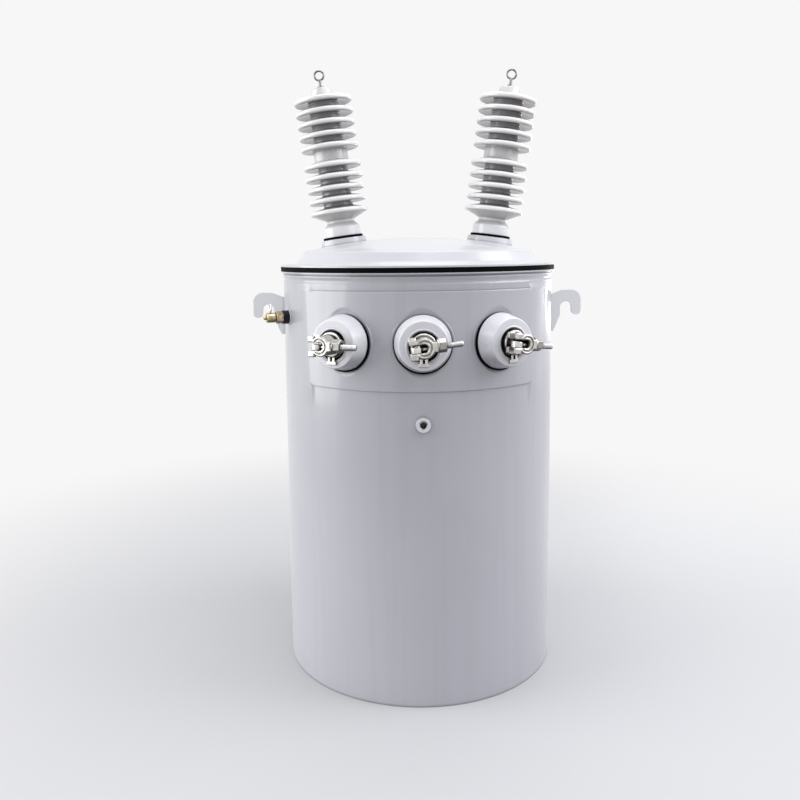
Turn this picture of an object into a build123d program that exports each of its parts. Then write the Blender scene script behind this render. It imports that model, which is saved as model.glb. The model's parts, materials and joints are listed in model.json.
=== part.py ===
from build123d import *
from math import cos, radians, sin, sqrt
import os

# Pole mounted distribution transformer: a round oil tank with a domed cover, two porcelain
# high voltage bushings that lean out of the cover, three low voltage bushings with eyebolt
# clamps on the front, and lifting and hanging fittings welded to the wall.
# Millimetres. The origin is on the tank's axis at the floor, +Z is up, the front faces -Y.

# Tank shell
tank_radius = 250.0
wall_thickness = 3.0
tank_height = 728.0
lip_reach = 4.5
lip_thickness = 2.4
neck_depth = 1.2
neck_height = 8.0
bead_height = 5.5
bead_rise = 1.0
lip_groove = 2.2
bottom_recess = 14.0
bottom_thickness = 4.0

# Clearances shared by all pieces
weld_gap = 0.2
hole_clearance = 0.3
cut_margin = 5.0

# Core and coils under oil, one sealed mass
fill_side_gap = 4.0
fill_top_gap = 30.0

# Cover and its gasket
gasket_thickness = 8.5
sheet_thickness = 3.0
step_foot_inset = 24.0
step_run = 15.0
step_height = 24.0
dome_rise = 24.5
foot_fillet = 14.0
crest_fillet = 9.0

# High voltage bushings, lengths along the bushing in the order that they follow its seat
hv_inset = 112.0
hv_lean_angle = 7.6
hv_seat_rise = 9.4
hv_seat_margin = 4.0
hv_seat_draft = 5.0
hv_seat_depth = 24.0
hv_gasket_margin = 2.5
hv_gasket_thickness = 4.5
hv_base_radius = 34.5
hv_base_height = 17.0
hv_shoulder_height = 9.0
hv_neck_radius = 25.5
hv_neck_height = 4.0
hv_skirt_height = 11.25
hv_core_radius = 27.5
hv_waist_radius = 32.0
hv_waist_length = 24.4
hv_root_fillet = 2.0
hv_shoulder_fillet = 4.0
hv_shed_radius = 54.0
hv_shed_rim = 9.5
hv_shed_drip = 2.7
hv_shed_slope = 4.8
hv_shed_gap = 11.6
hv_shed_count = 5
hv_top_margin = 1.5
hv_top_slope = 4.05
hv_tail_radius = 20.0
hv_tail_length = 40.0
hv_cap_radius = 21.0
hv_cap_top_radius = 17.9
hv_cap_height = 14.4
hv_cap_rounding = 2.0
hv_nut_flats = 13.0
hv_nut_height = 4.0
hv_nut_chamfer = 1.0
hv_stud_radius = 3.0
hv_stud_length = 16.0
hv_eye_radius = 8.4
hv_eye_wire = 1.8

# Low voltage bushings and the plate that they stand on
lv_spread_angle = 30.1
lv_drop = 112.3
lv_plate_thickness = 2.4
lv_plate_margin_angle = 18.4
lv_plate_below = 77.5
lv_plate_above = 81.5
lv_seat_sink = 1.5
lv_seat_slope = 6.5
lv_seat_margin = 1.0
lv_seat_draft = 4.0
lv_seat_depth = 8.0
lv_gasket_margin = 1.4
lv_gasket_sag = 1.9
lv_gasket_thickness = 5.0
lv_base_radius = 46.0
lv_base_edge = 2.5
lv_face_radius = 39.4
lv_body_length = 32.0
lv_face_rounding = 2.5
lv_recess_gap = 4.2
lv_recess_depth = 3.0
lv_tail_radius = 19.0
lv_tail_length = 16.1

# Low voltage terminals, one set on each bushing
collar_radius = 20.2
collar_height = 7.0
collar_rounding = 2.0
terminal_stud_radius = 6.0
boss_radius = 12.5
boss_height = 5.0
lock_thickness = 3.5
lock_root = 3.0
lock_prong_width = 4.2
lock_prong_gap = 4.0
lock_foot_width = 17.0
lock_foot_height = 6.0
lock_reach = 33.0
clamp_radius = 16.0
clamp_web = 2.2
clamp_slot_end = 6.0
clamp_nose_rise = 6.5
clamp_nose_height = 10.5
clamp_nose_length = 12.0
clamp_nose_rounding = 2.5
clamp_land_rise = 4.5
clamp_land_height = 16.0
clamp_land_rounding = 2.0
clamp_groove_radius = 11.2
clamp_groove_width = 2.4
clamp_groove_depth = 1.4
clamp_front_step = 1.0
conductor_play = 0.5
eye_radius = 9.5
eye_hole_radius = 6.0
eye_thickness = 10.0
eye_side_gap = 1.5
eye_back_gap = 0.3
eye_offset = 11.5
bolt_radius = 5.0
bolt_reach = 60.0
bolt_clearance = 0.3
bolt_chamfer = 1.0
washer_radius = 11.0
washer_thickness = 2.5
nut_flats = 19.0
nut_height = 11.0
nut_bore_gap = 0.15
nut_corner_chamfer = 1.6
lv_tilts = {"left": 1.5, "centre": 8.0, "right": -6.0}

# Ground boss and pressure relief valve, each on a bush welded through the wall
bush_root_depth = 3.5
ground_drop = 245.0
ground_boss_radius = 12.0
ground_boss_stand = 7.5
ground_hole_radius = 6.35
ground_hole_depth = 11.0
ground_hole_chamfer = 1.5
valve_azimuth = -68.0
valve_drop = 80.0
valve_bush_radius = 12.0
valve_bush_stand = 12.0
valve_hex_flats = 19.0
valve_hex_length = 12.5
valve_hex_chamfer = 1.8
valve_groove_radius = 6.5
valve_groove_length = 2.0
valve_cap_radius = 8.8
valve_cap_length = 14.5
valve_cap_chamfer = 1.2
valve_tip_radius = 3.5
valve_tip_length = 5.0
valve_ring_radius = 7.0
valve_ring_wire = 1.4

# Lifting lugs
lug_thickness = 10.0
lug_stand = 60.0
lug_drop = 41.0
lug_top_fall = 10.0
lug_root_height = 68.0
lug_root_width = 8.0
lug_leg_height = 47.0
lug_leg_width = 17.0
lug_arch_width = 22.0
lug_arch_depth = 22.0
lug_shoulder = 18.0
lug_leg_rounding = 7.0

# Hanger brackets on the back, for two pole bolts
hanger_drop = 128.0
hanger_spacing = 285.75
hanger_width = 92.0
hanger_height = 70.0
hanger_plate = 6.0
hanger_standoff = 45.0
hanger_slot_radius = 8.75
hanger_slot_length = 35.0

# Radii and heights that follow from the sizes above
wall_inside = tank_radius - wall_thickness
lip_radius = tank_radius + lip_reach
gasket_top = tank_height + gasket_thickness
flange_top = gasket_top + sheet_thickness
step_foot_radius = tank_radius - step_foot_inset
step_top_radius = step_foot_radius - step_run
bottom_top = bottom_recess + bottom_thickness
bush_root = wall_inside - bush_root_depth
hv_offset = tank_radius - hv_inset
hv_gasket_radius = hv_base_radius + hv_gasket_margin
hv_seat_radius = hv_gasket_radius + hv_seat_margin
hv_neck_bottom = hv_base_height + hv_shoulder_height
hv_neck_top = hv_neck_bottom + hv_neck_height
hv_top_radius = hv_cap_radius + hv_top_margin
lv_height = tank_height - lv_drop
plate_inside = tank_radius + weld_gap
plate_outside = plate_inside + lv_plate_thickness
lv_seat_reach = plate_outside - lv_seat_sink
lv_body_reach = lv_seat_reach + lv_gasket_thickness
lv_face_reach = lv_body_reach + lv_body_length
lv_tail_reach = lv_body_reach - lv_tail_length
lv_gasket_radius = lv_base_radius + lv_gasket_margin
lv_seat_radius = lv_gasket_radius + lv_gasket_sag + lv_seat_margin
lv_recess_radius = collar_radius + lv_recess_gap
lv_recess_floor = lv_face_reach - lv_recess_depth
fill_radius = min(lv_tail_reach, bush_root) - fill_side_gap
clamp_start = lv_face_reach + collar_height + boss_height
clamp_width = 2 * (eye_radius + eye_back_gap + clamp_web)
clamp_slot = eye_thickness + 2 * eye_side_gap
clamp_nose_reach = clamp_radius + clamp_nose_rise
clamp_land = clamp_radius + clamp_land_rise
conductor_slot = 2 * eye_hole_radius + conductor_play
conductor_slot_end = eye_offset - eye_hole_radius - conductor_play
bolt_height = clamp_start + clamp_width / 2
ground_boss_reach = tank_radius + ground_boss_stand
valve_bush_reach = tank_radius + valve_bush_stand
valve_hex_end = valve_bush_reach + valve_hex_length
valve_cap_start = valve_hex_end + valve_groove_length
lug_top = tank_height - lug_drop
hanger_top_height = tank_height - hanger_drop

centre = Align.CENTER
base_up = (Align.CENTER, Align.CENTER, Align.MIN)


def rod(radius, start, end):
    """A round bar along z from start to end."""
    return Pos(0, 0, start) * Cylinder(radius, end - start, align=base_up)


def tube(outer, inner, start, end):
    """A round ring along z with a flat face at each end."""
    return rod(outer, start, end) - rod(inner, start - cut_margin, end + cut_margin)


def hexagon_bar(flats, start, end, corner_chamfer):
    """A six sided bar along z, flats wide from face to face, with its corners turned off at the end."""
    side = RegularPolygon(flats / 2, 6, major_radius=False, rotation=30)
    blank = rod(flats / sqrt(3), start, end)
    blank = chamfer(blank.edges().sort_by(Axis.Z)[-1], corner_chamfer / 2, corner_chamfer)
    return blank & Pos(0, 0, start) * extrude(side, end - start)


def spin(outline):
    """A solid of revolution about z from a closed line in radius and height."""
    return revolve(Plane.XZ * make_face(outline), axis=Axis.Z)


def facing(azimuth, height):
    """A frame on the tank's axis: z straight out through the wall, x to the right, y up."""
    turn = radians(azimuth)
    return Plane(origin=(0, 0, height), x_dir=(cos(turn), sin(turn), 0), z_dir=(sin(turn), -cos(turn), 0))


lv_azimuths = {"left": -lv_spread_angle, "centre": 0.0, "right": lv_spread_angle}
lv_frames = {side: facing(azimuth, lv_height) for side, azimuth in lv_azimuths.items()}
valve_frame = facing(valve_azimuth, tank_height - valve_drop)
ground_frame = facing(0.0, tank_height - ground_drop)


def through_wall(radius):
    """The cut for something round that passes through the wall."""
    return rod(radius + hole_clearance, bush_root - cut_margin, lv_seat_reach + cut_margin)


def tank_wall():
    """The rolled wall: a plain drum, a necked band and bead, and a flat lip at the rim."""
    lip_bottom = tank_height - lip_thickness
    bead_top = lip_bottom - lip_groove
    bead_bottom = bead_top - bead_height
    neck_bottom = bead_bottom - neck_height
    outline = Polyline((wall_inside, 0), (tank_radius, 0), (tank_radius, neck_bottom))
    neck_middle = (tank_radius - neck_depth, (neck_bottom + bead_bottom) / 2)
    outline += ThreePointArc((tank_radius, neck_bottom), neck_middle, (tank_radius, bead_bottom))
    bead_middle = (tank_radius + bead_rise, (bead_bottom + bead_top) / 2)
    outline += ThreePointArc((tank_radius, bead_bottom), bead_middle, (tank_radius, bead_top))
    outline += Polyline(
        (tank_radius, bead_top),
        (tank_radius, lip_bottom),
        (lip_radius, lip_bottom),
        (lip_radius, tank_height),
        (wall_inside, tank_height),
        (wall_inside, 0),
    )
    wall = spin(outline)
    for frame in lv_frames.values():
        wall -= frame * through_wall(lv_tail_radius)
    wall -= ground_frame * through_wall(ground_boss_radius)
    wall -= valve_frame * through_wall(valve_bush_radius)
    return wall


def tank_bottom():
    """The flat bottom, welded in above the skirt."""
    return rod(wall_inside - weld_gap, bottom_recess, bottom_top)


def core_and_oil():
    """The core, coils and oil as one sealed mass on the bottom plate."""
    return rod(fill_radius, bottom_top, tank_height - fill_top_gap)


def bushing_plate():
    """The wrapped plate on the front with a flat seat pressed round each bushing hole."""
    bottom = lv_height - lv_plate_below
    top = lv_height + lv_plate_above
    section = Polyline(
        (plate_inside, bottom),
        (plate_outside, bottom),
        (plate_outside, top),
        (plate_inside, top),
        (plate_inside, bottom),
    )
    half_angle = lv_spread_angle + lv_plate_margin_angle
    sheet = revolve(Plane.XZ * make_face(section), axis=Axis.Z, revolution_arc=2 * half_angle)
    plate = Rot(0, 0, -90 - half_angle) * sheet
    seat = Cone(lv_seat_radius + lv_seat_draft, lv_seat_radius, lv_seat_depth, align=base_up)
    for frame in lv_frames.values():
        plate += frame * Pos(0, 0, lv_seat_reach - lv_seat_depth) * seat
    plate -= rod(plate_inside, bottom - cut_margin, top + cut_margin)
    sink = Cone(lv_seat_radius, lv_seat_radius + 2 * lv_seat_slope, 2 * lv_seat_sink, align=base_up)
    for frame in lv_frames.values():
        plate -= frame * Pos(0, 0, lv_seat_reach) * sink
        plate -= frame * through_wall(lv_tail_radius)
    return plate


def dome_height(radius, inset):
    """The height of the cover's dome at a radius, inset by part of the sheet."""
    crest_radius = step_top_radius - inset
    ball = (crest_radius**2 + dome_rise**2) / (2 * dome_rise)
    return flange_top - inset + step_height + dome_rise - ball + sqrt(ball**2 - radius**2)


def hv_frame(side):
    """A frame on an upper bushing's seat, z along the bushing, leaning outwards."""
    lean = radians(hv_lean_angle) * side
    return Plane(
        origin=(side * hv_offset, 0, dome_height(hv_offset, 0) + hv_seat_rise),
        x_dir=(cos(lean), 0, -sin(lean)),
        z_dir=(sin(lean), 0, cos(lean)),
    )


def cover_form(inset):
    """The cover's outer form, or its inner one when inset by the sheet's thickness."""
    flange = flange_top - inset
    base = gasket_top - cut_margin
    foot = (step_foot_radius - inset, flange)
    crest = (step_top_radius - inset, flange + step_height)
    half = crest[0] / 2
    top = (0, dome_height(0, inset))
    outline = Polyline(top, (0, base), (lip_radius, base), (lip_radius, flange), foot, crest)
    outline += ThreePointArc(crest, (half, dome_height(half, inset)), top)
    face = make_face(outline)
    face = fillet(face.vertices().sort_by_distance(foot)[0], foot_fillet + inset)
    face = fillet(face.vertices().sort_by_distance(crest)[0], crest_fillet - inset)
    form = revolve(Plane.XZ * face, axis=Axis.Z)
    pocket_radius = hv_seat_radius - inset
    pocket = Cone(pocket_radius + hv_seat_draft, pocket_radius, hv_seat_depth, align=base_up)
    for side in (-1, 1):
        form += hv_frame(side) * Pos(0, 0, -hv_seat_depth - inset) * pocket
    return form


def cover():
    """The pressed cover: flat flange, steep step, shallow dome and two tilted pockets."""
    shell = cover_form(0.0) - cover_form(sheet_thickness)
    shell -= rod(lip_radius + cut_margin, gasket_top - 2 * cut_margin, gasket_top)
    for side in (-1, 1):
        shell -= hv_frame(side) * rod(hv_tail_radius + hole_clearance, -hv_tail_length, cut_margin)
    return shell


def cover_gasket():
    """The black rubber ring between the tank's lip and the cover's flange."""
    return tube(lip_radius, wall_inside, tank_height, gasket_top)


def hv_gasket():
    """The rubber ring under an upper bushing."""
    return tube(hv_gasket_radius, hv_tail_radius + hole_clearance, 0, hv_gasket_thickness)


def hv_shed_heights():
    """The heights of the rims: two groups of sheds with a plain waist between them."""
    first = hv_neck_top + hv_skirt_height + hv_shed_rim / 2
    pitch = hv_shed_rim + hv_shed_gap
    lower = [first + pitch * n for n in range(hv_shed_count)]
    upper_start = lower[-1] + hv_shed_rim + hv_waist_length
    return lower + [upper_start + pitch * n for n in range(hv_shed_count)]


def hv_body_top():
    """The height of the porcelain's flat top."""
    return hv_shed_heights()[-1] + hv_shed_rim / 2 + hv_top_slope


def hv_bushing():
    """The glazed body: tail, flared base, neck, then rounded sheds on a straight core."""
    rims = hv_shed_heights()
    half_rim = hv_shed_rim / 2
    rim_centre = hv_shed_radius - half_rim
    outline = Polyline(
        (0, -hv_tail_length),
        (hv_tail_radius, -hv_tail_length),
        (hv_tail_radius, 0),
        (hv_base_radius, 0),
    )
    outline += FilletPolyline(
        (hv_base_radius, 0),
        (hv_base_radius, hv_base_height),
        (hv_neck_radius, hv_neck_bottom),
        (hv_neck_radius, hv_neck_top),
        (rim_centre, rims[0] - half_rim),
        radius=hv_shoulder_fillet,
    )
    for n, rim in enumerate(rims):
        bottom = (rim_centre, rim - half_rim)
        top = (rim_centre, rim + half_rim)
        outline += ThreePointArc(bottom, (hv_shed_radius, rim), top)
        if n == len(rims) - 1:
            outline += Polyline(top, (hv_top_radius, hv_body_top()), (0, hv_body_top()), (0, -hv_tail_length))
            break
        core = hv_waist_radius if n == hv_shed_count - 1 else hv_core_radius
        outline += FilletPolyline(
            top,
            (core, rim + half_rim + hv_shed_slope),
            (core, rims[n + 1] - half_rim + hv_shed_drip),
            (rim_centre, rims[n + 1] - half_rim),
            radius=hv_root_fillet,
        )
    return spin(outline)


def hv_cap():
    """The metal cap on top of the porcelain, a little wider at its foot."""
    cap = Cone(hv_cap_radius, hv_cap_top_radius, hv_cap_height, align=base_up)
    cap = fillet(cap.edges().sort_by(Axis.Z)[-1], hv_cap_rounding)
    return Pos(0, 0, hv_body_top()) * cap


def hv_eye():
    """The nut, stud and ring that take the line lead."""
    start = hv_body_top() + hv_cap_height
    ring_height = start + hv_stud_length + hv_eye_radius
    stud = rod(hv_stud_radius, start, start + hv_stud_length)
    stud += hexagon_bar(hv_nut_flats, start, start + hv_nut_height, hv_nut_chamfer)
    ring = Pos(0, 0, ring_height) * Rot(90, 0, 0) * Torus(hv_eye_radius, hv_eye_wire)
    return stud + ring


def lv_gasket():
    """The rubber ring under a low voltage bushing, which sits low on the tail."""
    bore = lv_tail_radius + hole_clearance + lv_gasket_sag
    return Pos(0, -lv_gasket_sag, 0) * tube(lv_gasket_radius, bore, lv_seat_reach, lv_body_reach)


def lv_bushing():
    """The tapered body with a round recess in its face for the terminal's collar."""
    bore = terminal_stud_radius + bolt_clearance
    edge = (lv_base_radius, lv_body_reach + lv_base_edge)
    outline = Polyline(
        (lv_recess_radius, lv_face_reach),
        (lv_recess_radius, lv_recess_floor),
        (bore, lv_recess_floor),
        (bore, lv_tail_reach),
        (lv_tail_radius, lv_tail_reach),
        (lv_tail_radius, lv_body_reach),
        (lv_base_radius, lv_body_reach),
        edge,
    )
    outline += FilletPolyline(
        edge,
        (lv_face_radius, lv_face_reach),
        (lv_recess_radius, lv_face_reach),
        radius=lv_face_rounding,
    )
    return spin(outline)


def lv_stud():
    """The stud with its seating collar, front boss and two pronged lock on the face."""
    collar_end = lv_face_reach + collar_height
    stud = rod(terminal_stud_radius, lv_tail_reach, lv_recess_floor)
    collar = rod(collar_radius, lv_recess_floor, collar_end)
    collar = fillet(collar.edges().sort_by(Axis.Z)[-1], collar_rounding)
    boss = rod(boss_radius, collar_end, collar_end + boss_height)
    lock_start = lv_face_reach + bolt_clearance
    foot_top = lock_foot_height - lock_reach
    foot = Box(lock_foot_width, lock_foot_height, lock_thickness, align=base_up)
    foot = Pos(0, (foot_top - lock_reach) / 2, lock_start) * foot
    prong_top = lock_root - collar_radius
    prong = Box(lock_prong_width, prong_top - foot_top, lock_thickness, align=base_up)
    prong_middle = (foot_top + prong_top) / 2
    prong_offset = (lock_prong_gap + lock_prong_width) / 2
    prongs = [Pos(x, prong_middle, lock_start) * prong for x in (-prong_offset, prong_offset)]
    return stud + collar + boss + prongs + foot


def along_bolt(shape):
    """Turns a shape made along z so that it lies along the eyebolt, tail to the right."""
    return Pos(0, 0, bolt_height) * Rot(0, 90, 0) * shape


def lv_clamp():
    """The cast clamp: a C open to the left, with jaws, noses and a slot for the conductor."""
    section = Circle(clamp_radius)
    nose = RectangleRounded(clamp_nose_length, clamp_nose_height, clamp_nose_rounding)
    nose_middle = clamp_nose_length / 2 - clamp_nose_reach
    nose_height = (clamp_slot + clamp_nose_height) / 2
    for side in (-1, 1):
        section += Pos(nose_middle, side * nose_height) * nose
    land = RectangleRounded(clamp_land, clamp_land_height, clamp_land_rounding)
    section += Pos(clamp_land / 2, 0) * land
    slot_round = clamp_slot_end - clamp_slot / 2
    section -= Pos(slot_round, 0) * Circle(clamp_slot / 2)
    slot_length = clamp_nose_reach + cut_margin + slot_round
    section -= Pos(slot_round - slot_length / 2, 0) * Rectangle(slot_length, clamp_slot)
    front = clamp_start + clamp_width
    body = Pos(0, 0, clamp_start) * extrude(section, clamp_width - clamp_front_step)
    step = extrude(offset(section, -clamp_front_step), clamp_front_step)
    body += Pos(0, 0, front - clamp_front_step) * step
    groove_outside = clamp_groove_radius + clamp_groove_width / 2
    groove_inside = clamp_groove_radius - clamp_groove_width / 2
    body -= tube(groove_outside, groove_inside, front - clamp_groove_depth, front + cut_margin)
    body += rod(boss_radius, clamp_start, clamp_start + clamp_web)
    gap_length = clamp_nose_reach + cut_margin - conductor_slot_end
    gap_middle = -conductor_slot_end - gap_length / 2
    gap_height = 2 * (clamp_radius + cut_margin)
    body -= Pos(gap_middle, 0, bolt_height) * Box(gap_length, gap_height, conductor_slot)
    body -= along_bolt(rod(bolt_radius + bolt_clearance, 0, clamp_land + cut_margin))
    return body


def lv_eyebolt():
    """The eyebolt: a flat eye round the conductor and a round shank out to the right."""
    eye = Rot(90, 0, 0) * Cylinder(eye_radius, eye_thickness)
    hole = Rot(90, 0, 0) * Cylinder(eye_hole_radius, eye_thickness + cut_margin)
    shank = rod(bolt_radius, (eye_radius + eye_hole_radius) / 2 - eye_offset, bolt_reach)
    shank = chamfer(shank.edges().sort_by(Axis.Z)[-1], bolt_chamfer)
    middle = Pos(-eye_offset, 0, bolt_height)
    return middle * eye + along_bolt(shank) - middle * hole


def lv_nut():
    """The washer and six sided nut that pull the eyebolt tight."""
    washer_end = clamp_land + washer_thickness
    nut_end = washer_end + nut_height
    nut = hexagon_bar(nut_flats, washer_end, nut_end, nut_corner_chamfer)
    nut += rod(washer_radius, clamp_land, washer_end)
    nut -= rod(bolt_radius + nut_bore_gap, clamp_land - cut_margin, nut_end + cut_margin)
    return along_bolt(nut)


def ground_boss():
    """The threaded grounding boss welded through the wall."""
    boss = rod(ground_boss_radius, bush_root, ground_boss_reach)
    hole = rod(ground_hole_radius, ground_boss_reach - ground_hole_depth, ground_boss_reach + cut_margin)
    mouth_radius = ground_hole_radius + ground_hole_chamfer
    mouth = Cone(ground_hole_radius, mouth_radius, ground_hole_chamfer, align=base_up)
    return boss - hole - Pos(0, 0, ground_boss_reach - ground_hole_chamfer) * mouth


def relief_valve_bush():
    """The black bush welded through the wall that carries the relief valve."""
    return rod(valve_bush_radius, bush_root, valve_bush_reach)


def relief_valve_body():
    """The six sided brass body with its grooved neck."""
    neck = rod(valve_groove_radius, valve_hex_end, valve_cap_start)
    return hexagon_bar(valve_hex_flats, valve_bush_reach, valve_hex_end, valve_hex_chamfer) + neck


def relief_valve_cap():
    """The round brass cap and its small tip."""
    end = valve_cap_start + valve_cap_length
    cap = rod(valve_cap_radius, valve_cap_start, end)
    cap = chamfer(cap.edges().sort_by(Axis.Z)[-1], valve_cap_chamfer)
    return cap + rod(valve_tip_radius, end, end + valve_tip_length)


def relief_valve_ring():
    """The pull ring that stands on the cap."""
    height = valve_cap_radius + valve_ring_radius + valve_ring_wire + weld_gap
    return Pos(0, height, valve_cap_start + valve_cap_length / 2) * Torus(valve_ring_radius, valve_ring_wire)


def lifting_lug():
    """The right lifting lug: a flat hook with an arch that opens downwards."""
    root = tank_radius + weld_gap
    reach = tank_radius + lug_stand
    root_top = lug_top - lug_top_fall
    root_bottom = root_top - lug_root_height
    leg_bottom = lug_top - lug_leg_height
    leg_inside = reach - lug_leg_width
    arch_inside = leg_inside - lug_arch_width
    arch_top = lug_top - lug_arch_depth
    arch_spring = arch_top - lug_arch_width / 2
    shoulder_start = (reach, leg_bottom + lug_leg_width)
    shoulder_end = (leg_inside - lug_shoulder, lug_top)
    outline = Polyline(
        shoulder_end,
        (root, root_top),
        (root, root_bottom),
        (root + lug_root_width, root_bottom),
        (arch_inside, leg_bottom),
        (arch_inside, arch_spring),
    )
    arch_middle = (arch_inside + lug_arch_width / 2, arch_top)
    outline += ThreePointArc((arch_inside, arch_spring), arch_middle, (leg_inside, arch_spring))
    leg = ((leg_inside, arch_spring), (leg_inside, leg_bottom), (reach, leg_bottom), shoulder_start)
    outline += FilletPolyline(*leg, radius=lug_leg_rounding)
    outline += FilletPolyline(shoulder_start, (reach, lug_top), shoulder_end, radius=lug_shoulder)
    return extrude(Plane.XZ * make_face(outline), lug_thickness / 2, both=True)


def hanger_bracket(height):
    """A hanger bracket: a slotted plate held off the wall by two side plates."""
    reach = tank_radius + hanger_standoff
    forward = (centre, Align.MIN, centre)
    block = Box(hanger_width, reach, hanger_height, align=forward)
    inner_width = hanger_width - 2 * hanger_plate
    space = Box(inner_width, reach - hanger_plate, hanger_height + cut_margin, align=forward)
    slot = SlotOverall(hanger_slot_length, 2 * hanger_slot_radius, rotation=90)
    hole = extrude(Plane.XZ * slot, -reach - cut_margin)
    return Pos(0, 0, height) * (block - space - hole) - rod(tank_radius + weld_gap, 0, tank_height)


def build():
    """Every piece by name, each in its place."""
    parts = {
        "tank_wall": tank_wall(),
        "tank_bottom": tank_bottom(),
        "core_and_oil": core_and_oil(),
        "bushing_plate": bushing_plate(),
        "cover": cover(),
        "cover_gasket": cover_gasket(),
        "ground_boss": ground_frame * ground_boss(),
        "relief_valve_bush": valve_frame * relief_valve_bush(),
        "relief_valve_body": valve_frame * relief_valve_body(),
        "relief_valve_cap": valve_frame * relief_valve_cap(),
        "relief_valve_ring": valve_frame * relief_valve_ring(),
        "lifting_lug_right": lifting_lug(),
        "lifting_lug_left": mirror(lifting_lug(), about=Plane.YZ),
        "hanger_bracket_upper": hanger_bracket(hanger_top_height),
        "hanger_bracket_lower": hanger_bracket(hanger_top_height - hanger_spacing),
    }
    for name, side in {"left": -1, "right": 1}.items():
        frame = hv_frame(side)
        raised = Pos(0, 0, hv_gasket_thickness)
        parts[f"hv_gasket_{name}"] = frame * hv_gasket()
        parts[f"hv_bushing_{name}"] = frame * raised * hv_bushing()
        parts[f"hv_cap_{name}"] = frame * raised * hv_cap()
        parts[f"hv_eye_{name}"] = frame * raised * hv_eye()
    for name, frame in lv_frames.items():
        tilted = Rot(0, 0, lv_tilts[name])
        parts[f"lv_gasket_{name}"] = frame * lv_gasket()
        parts[f"lv_bushing_{name}"] = frame * lv_bushing()
        parts[f"lv_stud_{name}"] = frame * lv_stud()
        parts[f"lv_clamp_{name}"] = frame * tilted * lv_clamp()
        parts[f"lv_eyebolt_{name}"] = frame * tilted * lv_eyebolt()
        parts[f"lv_nut_{name}"] = frame * tilted * lv_nut()
    return parts


os.makedirs("parts", exist_ok=True)
for node, shape in build().items():
    export_step(shape, f"parts/{node}.step")
    print(node, round(shape.volume))
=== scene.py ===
import json
import math
import bpy
import bmesh
import numpy as np
from mathutils import Matrix, Vector


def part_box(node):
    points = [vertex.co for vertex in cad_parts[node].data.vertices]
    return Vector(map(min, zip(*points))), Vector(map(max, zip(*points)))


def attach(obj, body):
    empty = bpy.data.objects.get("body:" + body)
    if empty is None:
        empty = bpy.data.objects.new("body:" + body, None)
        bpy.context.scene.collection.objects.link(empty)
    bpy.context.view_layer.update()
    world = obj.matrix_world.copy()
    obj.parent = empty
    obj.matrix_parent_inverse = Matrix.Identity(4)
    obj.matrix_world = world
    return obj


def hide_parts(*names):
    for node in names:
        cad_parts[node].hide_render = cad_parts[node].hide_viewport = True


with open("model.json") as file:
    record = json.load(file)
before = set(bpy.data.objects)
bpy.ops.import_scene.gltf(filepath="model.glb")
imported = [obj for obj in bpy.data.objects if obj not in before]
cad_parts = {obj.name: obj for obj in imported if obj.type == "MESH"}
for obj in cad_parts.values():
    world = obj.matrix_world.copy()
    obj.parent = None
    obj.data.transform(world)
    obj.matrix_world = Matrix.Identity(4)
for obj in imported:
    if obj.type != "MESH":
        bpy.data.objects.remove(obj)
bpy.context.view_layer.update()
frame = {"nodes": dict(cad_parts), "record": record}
nodes = frame["nodes"]
scene = bpy.context.scene
print("Frame loaded:", len(nodes), "CAD pieces")

sides = ("left", "centre", "right")
white = (1.0, 1.0, 1.0, 1.0)
colorA, colorB, colorOut = 6, 7, 2  # the sockets of a Mix node that mixes colours


def rgba(color):
    # a colour socket also takes an opacity
    return (*color, 1.0)


def emptyTree(owner):
    # the shader tree of a new material or world, with nothing in it
    owner.use_nodes = True
    owner.node_tree.nodes.clear()
    return owner.node_tree


def shaderNode(tree, kind, values=None, **settings):
    # one node of a shader tree: each named or numbered socket takes a value, or another node's output
    node = tree.nodes.new(kind)
    for key, value in settings.items():
        setattr(node, key, value)
    for key, value in (values or {}).items():
        if isinstance(value, bpy.types.NodeSocket):
            tree.links.new(value, node.inputs[key])
        else:
            node.inputs[key].default_value = value
    return node


def mathOf(tree, operation, *values, clamp=False):
    # the result of one sum on numbers or other nodes' outputs
    node = shaderNode(tree, "ShaderNodeMath", dict(enumerate(values)), operation=operation, use_clamp=clamp)
    return node.outputs[0]


def mixColors(tree, factor, first, second):
    # the first colour at factor 0, and the second one at factor 1
    values = {"Factor": factor, colorA: first, colorB: second}
    return shaderNode(tree, "ShaderNodeMix", values, data_type="RGBA").outputs[colorOut]


def smoothMask(tree, value, start, end, before=0.0, after=1.0):
    # a smooth step of a value, from one number before the start to another after the end
    values = {"Value": value, "From Min": start, "From Max": end, "To Min": before, "To Max": after}
    return shaderNode(tree, "ShaderNodeMapRange", values, interpolation_type="SMOOTHSTEP").outputs[0]


def noiseOf(tree, size, **texture):
    # noise on the piece's own coordinates: its scale is 1 over the size of its patches
    place = shaderNode(tree, "ShaderNodeTexCoord").outputs["Object"]
    values = {"Vector": place, "Scale": mathOf(tree, "DIVIDE", 1.0, size), **texture}
    return shaderNode(tree, "ShaderNodeTexNoise", values).outputs[0]


def heightOf(tree, normal):
    # the height of a normal: 1 where the surface looks up, and -1 where it looks down
    return shaderNode(tree, "ShaderNodeSeparateXYZ", {0: normal}).outputs["Z"]


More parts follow.
